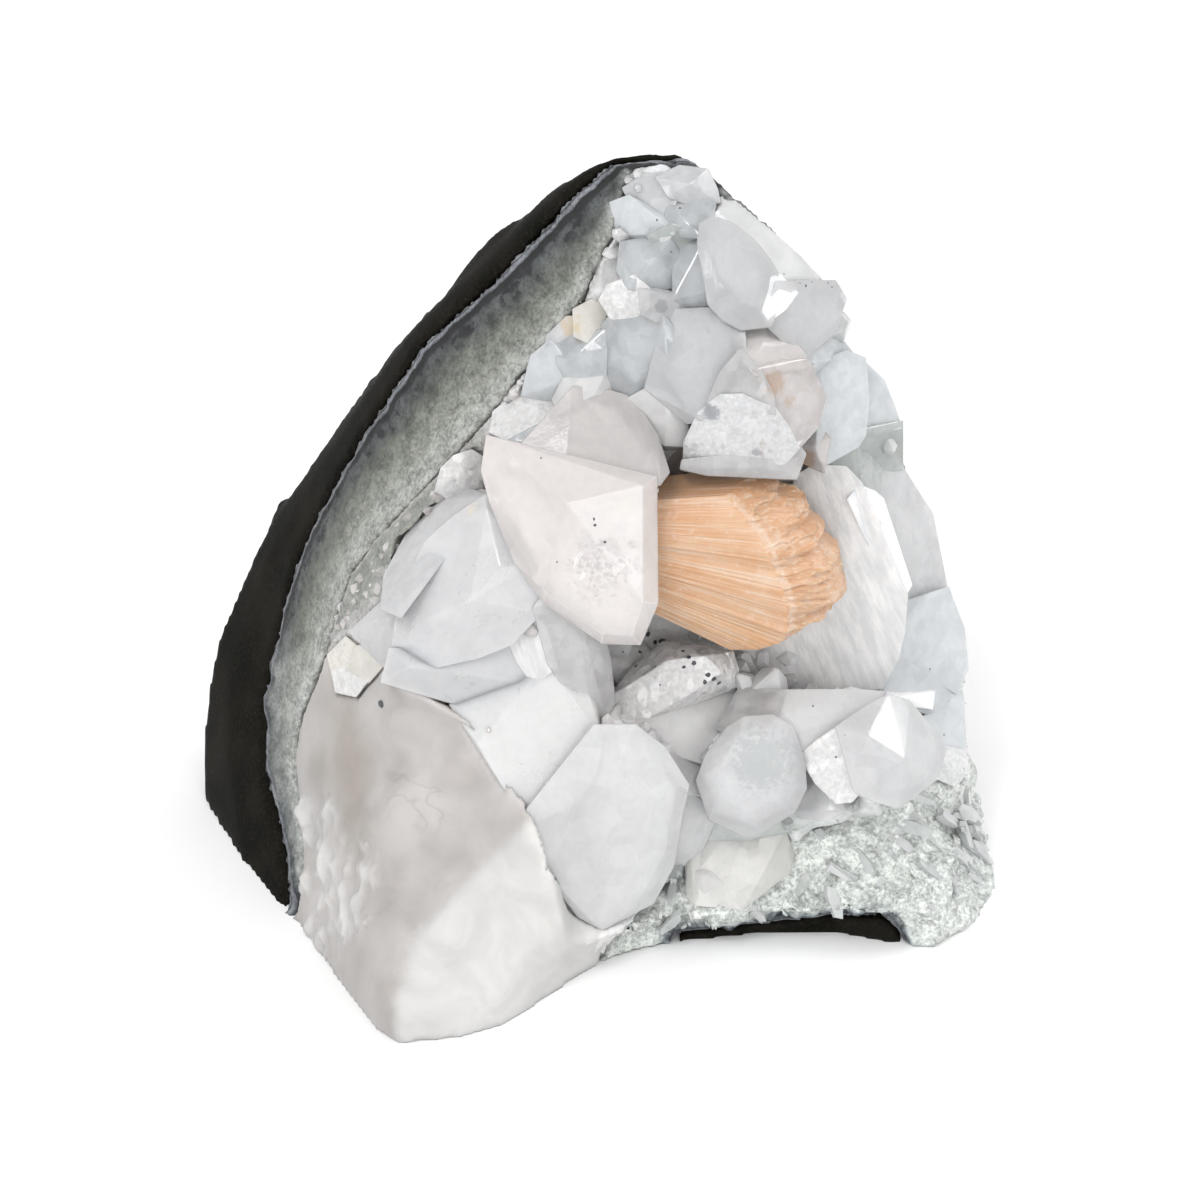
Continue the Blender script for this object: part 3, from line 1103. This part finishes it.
crust_solid = triangles_of("apophyllite_crystals")
placed = []
passes = [(*sizes, carries_crystals) for sizes in SMALL_SIZES]
passes += [(*sizes, carries_grains) for sizes in GRAIN_SIZES]
for low, high, tries, carries in passes:
    for spot, normal in surface_points(crust_solid, tries):
        if not carries(spot, normal):
            continue
        width = rng.uniform(low, high) * MM
        if covered_at(spot) > -0.12 * width:
            continue
        if any((other - spot).length < (width + size) * 0.42 for other, size in placed):
            continue
        placed.append((spot, width))
        lean = random_vector(0.5) + Vector((0, -0.5, 0.25))
        axis = (normal + lean).normalized()
        form = rng.choice(forms)
        clarity = rng.choice(("clear", "cloudy", "cloudy"))
        sunk = spot - axis * width * rng.uniform(0.5, 0.95)
        parts[clarity].append(small_crystal(form, sunk, axis, rng.uniform(0, 6.28), width))
print(len(placed), "small crystals")
crust_solid.free()

for clarity, material in finishes.items():
    if parts[clarity]:
        bm, grains, tints = joined(parts[clarity])
        piece = finished(clarity + "_crystals", bm, "apophyllite", material)
        with_attributes(piece, grains, tints)

# %% [markdown]
# ## Apophyllite: the crust
#
# The crust is the white, milky heart that all these crystals share, with the ground foot and flank. Under a
# clear crystal it lies a few millimetres deep, so that light gets into the crystal before it meets the
# white. Where it was ground it is smooth.

# %% The crust
CRUST_FACE = 0.65 * MM
GROUND_SMOOTHINGS = 12
BLOB_SIZE, BLOB_RISE = 3.4 * MM, 1.3 * MM
# How deep the heart lies under a crystal, by its finish
SUNK_UNDER = {"clear": 1.6 * MM, "smooth": 1.6 * MM, "sparkling": 1.6 * MM, "upright": 1.8 * MM}
USUALLY_SUNK = 1.1 * MM
PUSH_LIMIT = 6 * MM


def on_ground_side(point, normal):
    """Whether a point of the milky heart was ground: the foot, the left flank and the base."""
    if seen_within(GROUND_FOOT, point, normal) or seen_within(GROUND_TOP, point, normal):
        return True
    x, z = point.x / MM, point.z / MM
    return (x < -27 and z < 38 and normal.x < 0.3) or z < 3


def seen_pixels(places):
    """The same as pixel_of, for many places at once."""
    away = places - eye
    deep = -away @ numpy.array(back)
    across = away[:, 0] * VIEW_DISTANCE / deep / FRAME_WIDTH
    upwards = away @ numpy.array(VIEW_UP) * VIEW_DISTANCE / deep / FRAME_WIDTH
    return (across + 0.5) * FRAME_PIXELS, (0.5 - upwards) * FRAME_PIXELS


bm = even_skin("apophyllite_crystals", CRUST_FACE)
bm.normal_update()
ground = [v for v in bm.verts if on_ground_side(v.co, v.normal)]
for _ in range(GROUND_SMOOTHINGS):
    smooth_points(bm, [v for v in ground if v.co.z > 0.5 * MM])
bm.normal_update()
for v in ground:
    if seen_within(BLOBS, v.co, v.normal):
        v.co += v.normal * max(fractal(v.co, BLOB_SIZE, 3), -0.1) * BLOB_RISE
bm.normal_update()
corners = numpy.array([v.co for v in bm.verts])
sunk = numpy.zeros(len(corners))
for clarity, planes, _ in large:
    shares = numpy.clip((depths_inside(corners, planes) + 0.4 * MM) / (0.9 * MM), 0, 1)
    sunk = numpy.maximum(sunk, shares * SUNK_UNDER.get(clarity, USUALLY_SUNK))
normals = numpy.array([v.normal for v in bm.verts])
corners -= normals * sunk[:, None]
print(len(corners), "points,", len(ground), "of them ground smooth")

# %% [markdown]
# The heart's faces are coarser than the crystals', so here and there it would still stand out of a crystal's
# face. What does is pushed back along the camera's line of sight, to where it lies behind the face.

# %% The crust behind the faces
eye = numpy.array(camera.location)
away = corners - eye
far = numpy.linalg.norm(away, axis=1)
away /= far[:, None]
seen_x, seen_y = seen_pixels(corners)
pushed = numpy.zeros(len(corners))
for clarity, planes, outline in large:
    inside = numpy.zeros(len(corners), bool)
    for (x0, y0), (x1, y1) in zip(outline, outline[1:] + outline[:1]):
        if y0 != y1:
            inside ^= ((y0 > seen_y) != (y1 > seen_y)) & (seen_x < x0 + (seen_y - y0) * (x1 - x0) / (y1 - y0))
    inside &= normals @ numpy.array(back) > -0.3
    turned = away[inside] @ planes[:, :3].T
    reach = -(eye @ planes[:, :3].T + planes[:, 3]) / numpy.where(abs(turned) < 1e-6, 1e-6, turned)
    entry = numpy.where(turned < 0, reach, -1e9).max(axis=1)
    lacking = entry + SUNK_UNDER.get(clarity, USUALLY_SUNK) - far[inside]
    pushed[inside] = numpy.maximum(pushed[inside], numpy.clip(lacking, 0, PUSH_LIMIT))
corners += away * pushed[:, None]
print(int((pushed > 0).sum()), "points pushed back behind the faces")
sunk = numpy.maximum(sunk, pushed)
for v, place, depth in zip(bm.verts, corners, sunk):
    v.co = place
    if on_rind(v.co, v.normal) and not depth:
        v.co += v.normal * (fractal(v.co, 2.0 * MM, 3) * 0.4 - 0.1) * MM

# %% [markdown]
# The crust's finish reads where the heart was ground, where it is granular like the rind, and its tint. Each
# point takes the mean of its own tint and its neighbours', three times, so that no border is jagged.

# %% The finished crust
is_ground = [0.0] * len(bm.verts)
granular = [0.0] * len(bm.verts)
bm.verts.index_update()
for v in ground:
    is_ground[v.index] = 1.0
places = [v.co.copy() for v in bm.verts]
tints = [tint_at(v.co, v.normal) for v in bm.verts]
for v, depth in zip(bm.verts, sunk):
    if on_rind(v.co, v.normal):
        out = pixels_outside(CRYSTAL_FIELD, *pixel_of(v.co)) + fractal(v.co, 2.5 * MM, 4) * 14
        tints[v.index] = Vector((0.80, 0.80, 0.79)).lerp(Vector((0.37, 0.385, 0.35)), smoothstep(-10, 30, out))
        is_ground[v.index] = 0.6
        granular[v.index] = 1.0
    elif not depth and not is_ground[v.index]:
        tints[v.index] *= 0.84
for _ in range(3):
    tints = [(tints[v.index] + sum((tints[e.other_vert(v).index] for e in v.link_edges), Vector()))
             / (1 + len(v.link_edges)) for v in bm.verts]
crust = finished("crust", bm, "apophyllite", milky_finish(), "apophyllite_crystals")
with_attributes(crust, places, tints)
store(crust, "ground", "FLOAT", is_ground)
store(crust, "granular", "FLOAT", granular)

# %% [markdown]
# ## Apophyllite: the broken, bladed mass
#
# At the lower right the cavity's edge broke. There the rind and the crystals split along their cleavage
# into thin plates, white and grey green, which fan out from the middle of the cavity. Each plate is an
# uneven six sided slab.

# %% The bladed mass
# The plates keep this far from the basalt, and reach nearer to it in a thin band, both in millimetres
CLEAR_OF_BASALT, CLEAR_IN_BAND = 3.5, 1.0
THIN_BAND = ((600, 890), (800, 890), (812, 906), (800, 926), (670, 940), (600, 965))
PLATE_TRIES = 3600


def plate_form():
    """An uneven plate about 1 across, thicker at its foot."""
    bm = bmesh.new()
    outline = [(math.cos(a) * rng.uniform(0.4, 0.6), math.sin(a) * rng.uniform(0.1, 0.24))
               for a in (0.2, 1.1, 2.2, 3.3, 4.2, 5.4)]
    rows = [[bm.verts.new((x, y, z * (1.5 - x))) for x, y in outline] for z in (-0.06, 0.06)]
    bm.faces.new(rows[0])
    bm.faces.new(reversed(rows[1]))
    for k in range(6):
        n = (k + 1) % 6
        bm.faces.new((rows[0][n], rows[0][k], rows[1][k], rows[1][n]))
    bmesh.ops.recalc_face_normals(bm, faces=bm.faces)
    return mesh_of(bm, "plate_form")


plates = [plate_form() for _ in range(9)]
slabs = []
for node in ("zeolite_rind", "apophyllite_crystals"):
    solid = triangles_of(node)
    for spot, normal in surface_points(solid, PLATE_TRIES):
        if spot.z < 2.5 * MM or spot.x < 0 or bladed_share(spot, normal) < 0.5 or normal.y > 0.2:
            continue
        least = CLEAR_IN_BAND if seen_within(THIN_BAND, spot, normal) else CLEAR_OF_BASALT
        if basalt_surface.find_nearest(spot)[3] < least * MM or covered_at(spot) > -0.6 * MM:
            continue
        fan = (spot - FAN_CENTRE).normalized()
        fan = (fan - normal * fan.dot(normal) * 0.7 + random_vector(0.3)).normalized()
        facing = (normal + random_vector(0.28)).normalized()
        side = facing.cross(fan).normalized()
        facing = fan.cross(side).normalized()
        width = (1.0 + 5 * rng.random() ** 4) * MM
        turn = Matrix((fan, side, facing)).transposed()
        slab = bmesh.new()
        slab.from_mesh(rng.choice(plates))
        place = Matrix.Translation(spot - facing * width * 0.04) @ (turn * width).to_4x4()
        bmesh.ops.transform(slab, matrix=place, verts=slab.verts)
        own = random_vector(1)
        tint = Vector(rng.choice((PALE, MILD, (0.84, 0.87, 0.86), (0.89, 0.91, 0.89)))).lerp(tint_at(spot), 0.3)
        slabs.append((slab, [v.co + own for v in slab.verts], [tint] * len(slab.verts)))
    solid.free()
print(len(slabs), "plates")
bm, grains, tints = joined(slabs)
bladed_mass = finished("plates", bm, "apophyllite", finishes["cloudy"])
with_attributes(bladed_mass, grains, tints)

# %% [markdown]
# ## Stilbite
#
# Stilbite grows as sheaves of thin blades that spread from one place. They lie so close that the side of the
# sheaf is silky smooth, with fine ridges that fan out, and only at its round end the blades step in and out
# like scales. So the sheaf is one surface, given by the share of the fan and the way along it. Its finish
# reads the same two values, so that its pale fibres fan out with the blades.

# %% The stilbite
SHEAF_ROOT = Vector((-21, -6.5, 64.6))
SHEAF_START = 20
SHEAF_RISE = (5.5, -28)
# How far the blades reach, from the top to the bottom of the fan, at its back and at its front
BACK_REACH = (42, 46, 49, 51, 53, 56, 56, 55, 52, 49, 45)
FRONT_REACH = (38, 40, 42, 44, 45, 47, 48, 49, 49, 47, 44)
# How far the fan's front is turned to the viewer: an upper, a middle and a lower bundle
FRONT_TURN = (2.5, 5.0, 6.2, 6.8, 6.6, 7.2, 6.8, 5.6, 4.2, 3.4, 1.8)
BACK_TURN = -8


def between(values, share):
    """The value at this share of a row of values."""
    spot = share * (len(values) - 1)
    i = min(int(spot), len(values) - 2)
    return values[i] + (values[i + 1] - values[i]) * (spot - i)


def stilbite_finish():
    f = Finish("stilbite")
    grain = f.attribute("grain", "Vector")
    fibres = f.noise(0.35, 4, 0.6, place=f.stretched((1, 1, 0.025), grain))
    bundles = f.noise(1.6, 4, 0.6, place=f.stretched((1, 1, 0.06), grain))
    cloud = f.noise(6, 3)
    colour = f.mix(f.remap(cloud, 0.35, 0.65), (0.52, 0.285, 0.145), (0.55, 0.345, 0.21))
    colour = f.mix(f.remap(bundles, 0.5, 0.72, 0, 0.7), colour, (0.60, 0.49, 0.39))
    colour = f.mix(f.remap(fibres, 0.50, 0.72, 0, 0.75), colour, (0.64, 0.55, 0.46))
    colour = f.mix(f.remap(fibres, 0.25, 0.42, 0.5, 0), colour, (0.41, 0.20, 0.09))
    # The ends of the blades: a white fringe where the side turns over, and a little darker beyond it
    ends_at = f.add("ShaderNodeSeparateXYZ", {0: grain}).outputs["Y"]
    ragged = f.plus(ends_at, f.wander(1.2, 5, 0.7), 1.6 * MM)
    colour = f.times(colour, (0.96, 0.93, 0.91), f.remap(ragged, 0.3 * MM, 1.2 * MM))
    start, stop = f.remap(ragged, 0.05 * MM, 0.35 * MM), f.remap(ragged, 0.5 * MM, 1.0 * MM, 1, 0)
    fringe = f.math("MULTIPLY", start, stop)
    colour = f.mix(f.math("MULTIPLY", fringe, 0.28), colour, (0.70, 0.62, 0.55))
    f.set(Base_Color=colour, Roughness=f.remap(fibres, 0.3, 0.7, 0.3, 0.5), Subsurface_Weight=0.4)
    f.set(Subsurface_Scale=2.5 * MM, Subsurface_Radius=(1.0, 0.6, 0.35), Coat_Weight=0.15)
    f.set(Normal=f.bump(f.math("ADD", fibres, bundles), 0.5, 0.12))
    return f.material


# %% [markdown]
# The sheaf is made ring by ring, from the top of the fan to its bottom. A ring runs from the root along the
# side of the sheaf, turns round its end, and closes behind the root.

# %% The shape of the sheaf
# Steps across the fan, along the side, and round the end
ACROSS, ALONG, ROUND = 300, 46, 34
# How thick the sheaf is at its root, in millimetres
ROOT_DEPTH = 5.5
# How far each scale at the end stands out, in columns across and rows round it
COLUMNS, ROWS = 60, 8
ends = [[rng.uniform(-0.35, 0.35) for _ in range(ROWS)] for _ in range(COLUMNS)]


def sheaf_point(share, along, turned):
    """A point of the sheaf: its share of the fan, of the way out, and of the way round its end to the back."""
    front, rear = between(FRONT_REACH, share), between(BACK_REACH, share)
    rise = SHEAF_RISE[0] + (SHEAF_RISE[1] - SHEAF_RISE[0]) * share
    turn = between(FRONT_TURN, share)
    ridges = noise.noise(Vector((share * 16, along * 0.8, 3))) * 0.22
    ridges += noise.noise(Vector((share * 70, along * 1.2, 8))) * 0.10
    # Two bundles lie over their neighbours and end in a step
    ridges += 0.5 * smoothstep(0.70, 0.72, share) * smoothstep(1.0, 0.8, share)
    ridges += 0.3 * smoothstep(0.36, 0.33, share) * smoothstep(0.1, 0.25, share)
    distance = SHEAF_START + (front - SHEAF_START) * along
    if turned:
        lobe = abs(math.sin(math.pi * (share * 8 + noise.noise(Vector((share * 4, 0, 5))) * 0.6))) - 0.6
        row = turned * 6 + noise.noise(Vector((share * 30, 0, 9))) * 0.8
        column = share * 52 + noise.noise(Vector((turned * 8, share * 9, 2))) * 0.9
        distance += (rear - front) * math.sin(min(turned * 1.9, math.pi / 2))
        distance += lobe * 1.5 * smoothstep(0, 0.5, turned) + ends[int(column) % COLUMNS][int(row) % ROWS]
        turn += (BACK_TURN - turn) * turned
    rise, turn = math.radians(rise), math.radians(turn)
    out = Vector((math.cos(rise) * math.cos(turn), -math.sin(turn), math.sin(rise) * math.cos(turn)))
    towards = Vector((math.sin(turn), -math.cos(turn), 0))
    place = SHEAF_ROOT + out * distance + towards * ridges * (1 - turned) * min(along * 3, 1)
    return place * MM, Vector((share * 30, turned * 9, distance)) * MM


bm = bmesh.new()
grains, rings = [], []
for i in range(ACROSS + 1):
    share = i / ACROSS
    path = [(k / ALONG, 0) for k in range(ALONG)] + [(1, k / ROUND) for k in range(ROUND + 1)]
    ring = []
    for along, turned in path:
        place, grain = sheaf_point(share, along, turned)
        ring.append(bm.verts.new(place))
        grains.append(grain)
    place, grain = sheaf_point(share, 0, 0)
    ring.append(bm.verts.new(place + Vector((0, ROOT_DEPTH, 0)) * MM))
    grains.append(grain)
    rings.append(ring)
for one, other in zip(rings, rings[1:]):
    for k in range(len(one)):
        n = (k + 1) % len(one)
        bm.faces.new((one[k], one[n], other[n], other[k]))
bm.faces.new(reversed(rings[0]))
bm.faces.new(rings[-1])
bmesh.ops.recalc_face_normals(bm, faces=bm.faces)
for face in bm.faces:
    face.smooth = len(face.verts) == 4
sheaf = finished("stilbite", bm, "stilbite", stilbite_finish(), "stilbite_sheaf")
store(sheaf, "grain", "FLOAT_VECTOR", [c for g in grains for c in g])

# %% [markdown]
# ## Dark specks
#
# A few dark grains sit on and in the crystals. Each is a small flattened ball on the surface that the camera
# sees at its place.

# %% The dark specks
SPECK_SHARE = 0.8
# Place in pixels, and radius in millimetres before it is multiplied by the share above
SPECKS = (
    (381, 704, 0.62), (594, 519, 0.24), (595, 525, 0.26), (605, 542, 0.24), (557, 562, 0.16), (657, 220, 0.26),
    (650, 229, 0.15), (671, 252, 0.15), (813, 706, 0.2), (930, 669, 0.2), (944, 735, 0.24), (836, 757, 0.2),
    (912, 818, 0.14), (845, 735, 0.12), (648, 634, 0.5), (655, 642, 0.45), (640, 652, 0.4), (636, 666, 0.3),
    (662, 641, 0.5), (623, 652, 0.2), (655, 667, 0.22), (660, 685, 0.16), (683, 651, 0.5), (689, 657, 0.55),
    (694, 663, 0.35), (684, 667, 0.35), (708, 675, 0.6), (714, 679, 0.55), (719, 683, 0.4), (705, 682, 0.4),
    (541, 458, 0.16), (607, 317, 0.2), (680, 208, 0.2), (784, 274, 0.16), (799, 252, 0.2), (800, 283, 0.16),
    (806, 286, 0.2), (812, 282, 0.16), (820, 279, 0.18), (828, 283, 0.18), (832, 287, 0.2), (815, 270, 0.16),
)


def seen_surface(names):
    """A tree of finished pieces, for looking along the camera's lines of sight."""
    whole = bmesh.new()
    for name in names:
        whole.from_mesh(bpy.data.objects[name].data)
    tree = BVHTree.FromBMesh(whole)
    whole.free()
    return tree


def speck_finish():
    f = Finish("dark_speck")
    colour = f.mix(f.noise(0.3, 3), (0.014, 0.013, 0.015), (0.10, 0.10, 0.12))
    f.set(Base_Color=colour, Roughness=0.35)
    return f.material


surface = seen_surface(["crust"] + [name + "_crystals" for name in finishes if parts[name]])
specks = bmesh.new()
for px, py, radius in SPECKS:
    spot, normal, _, _ = surface.ray_cast(camera.location, sight(px, py))
    if not spot:
        continue
    made = bmesh.ops.create_icosphere(specks, subdivisions=2, radius=radius * SPECK_SHARE * MM)
    turn = Vector((0, 0, 1)).rotation_difference(normal).to_matrix()
    bmesh.ops.scale(specks, vec=(rng.uniform(0.6, 1.3), rng.uniform(0.6, 1.3), 0.4), verts=made["verts"])
    for v in made["verts"]:
        v.co *= 1 + 0.35 * noise.noise(v.co / (radius * MM) * 1.3 + Vector((px, py, 0)))
    bmesh.ops.transform(specks, matrix=Matrix.Translation(spot) @ turn.to_4x4(), verts=made["verts"])
finished("specks", specks, "basalt", speck_finish())

# %% [markdown]
# ## Light and floor
#
# A pale floor and soft, even light, as in a white studio: a bright surround, with one large soft light from
# the upper left, a weaker one from the front that reaches under the sheaf, and one from the right to draw the
# edges.

# %% Light and floor
SURROUND = 0.99
LIT_SPOT = Vector((0, 0, 0.05))


def floor_finish():
    f = Finish("floor")
    colour = f.mix(f.remap(f.noise(60, 2), 0.4, 0.6), (0.86, 0.86, 0.86), (0.88, 0.88, 0.88))
    f.set(Base_Color=colour, Roughness=0.8)
    return f.material


def soft_light(name, size, power, place):
    """A round light of this size in metres and power in watts, turned to the middle of the specimen."""
    data = bpy.data.lights.new(name, "AREA")
    data.shape = "DISK"
    data.size = size
    data.energy = power
    lamp = in_scene(name, data)
    lamp.location = place
    lamp.rotation_euler = (LIT_SPOT - Vector(place)).to_track_quat("-Z", "Y").to_euler()


world = bpy.data.worlds.new("surround")
bpy.context.scene.world = world
world.use_nodes = True
background = world.node_tree.nodes["Background"]
background.inputs["Color"].default_value = (1, 1, 1, 1)
background.inputs["Strength"].default_value = SURROUND
bpy.context.scene.view_settings.view_transform = "Standard"

bm = bmesh.new()
bmesh.ops.create_grid(bm, x_segments=1, y_segments=1, size=3)
floor = in_scene("floor", mesh_of(bm, "floor"))
floor.data.materials.append(floor_finish())

soft_light("key", 0.3, 2.7, (-0.25, -0.45, 0.75))
soft_light("front", 0.4, 1.2, (0.05, -0.7, 0.22))
soft_light("rim", 0.3, 1.3, (0.6, 0.1, 0.45))
print("three lights, surround", SURROUND)
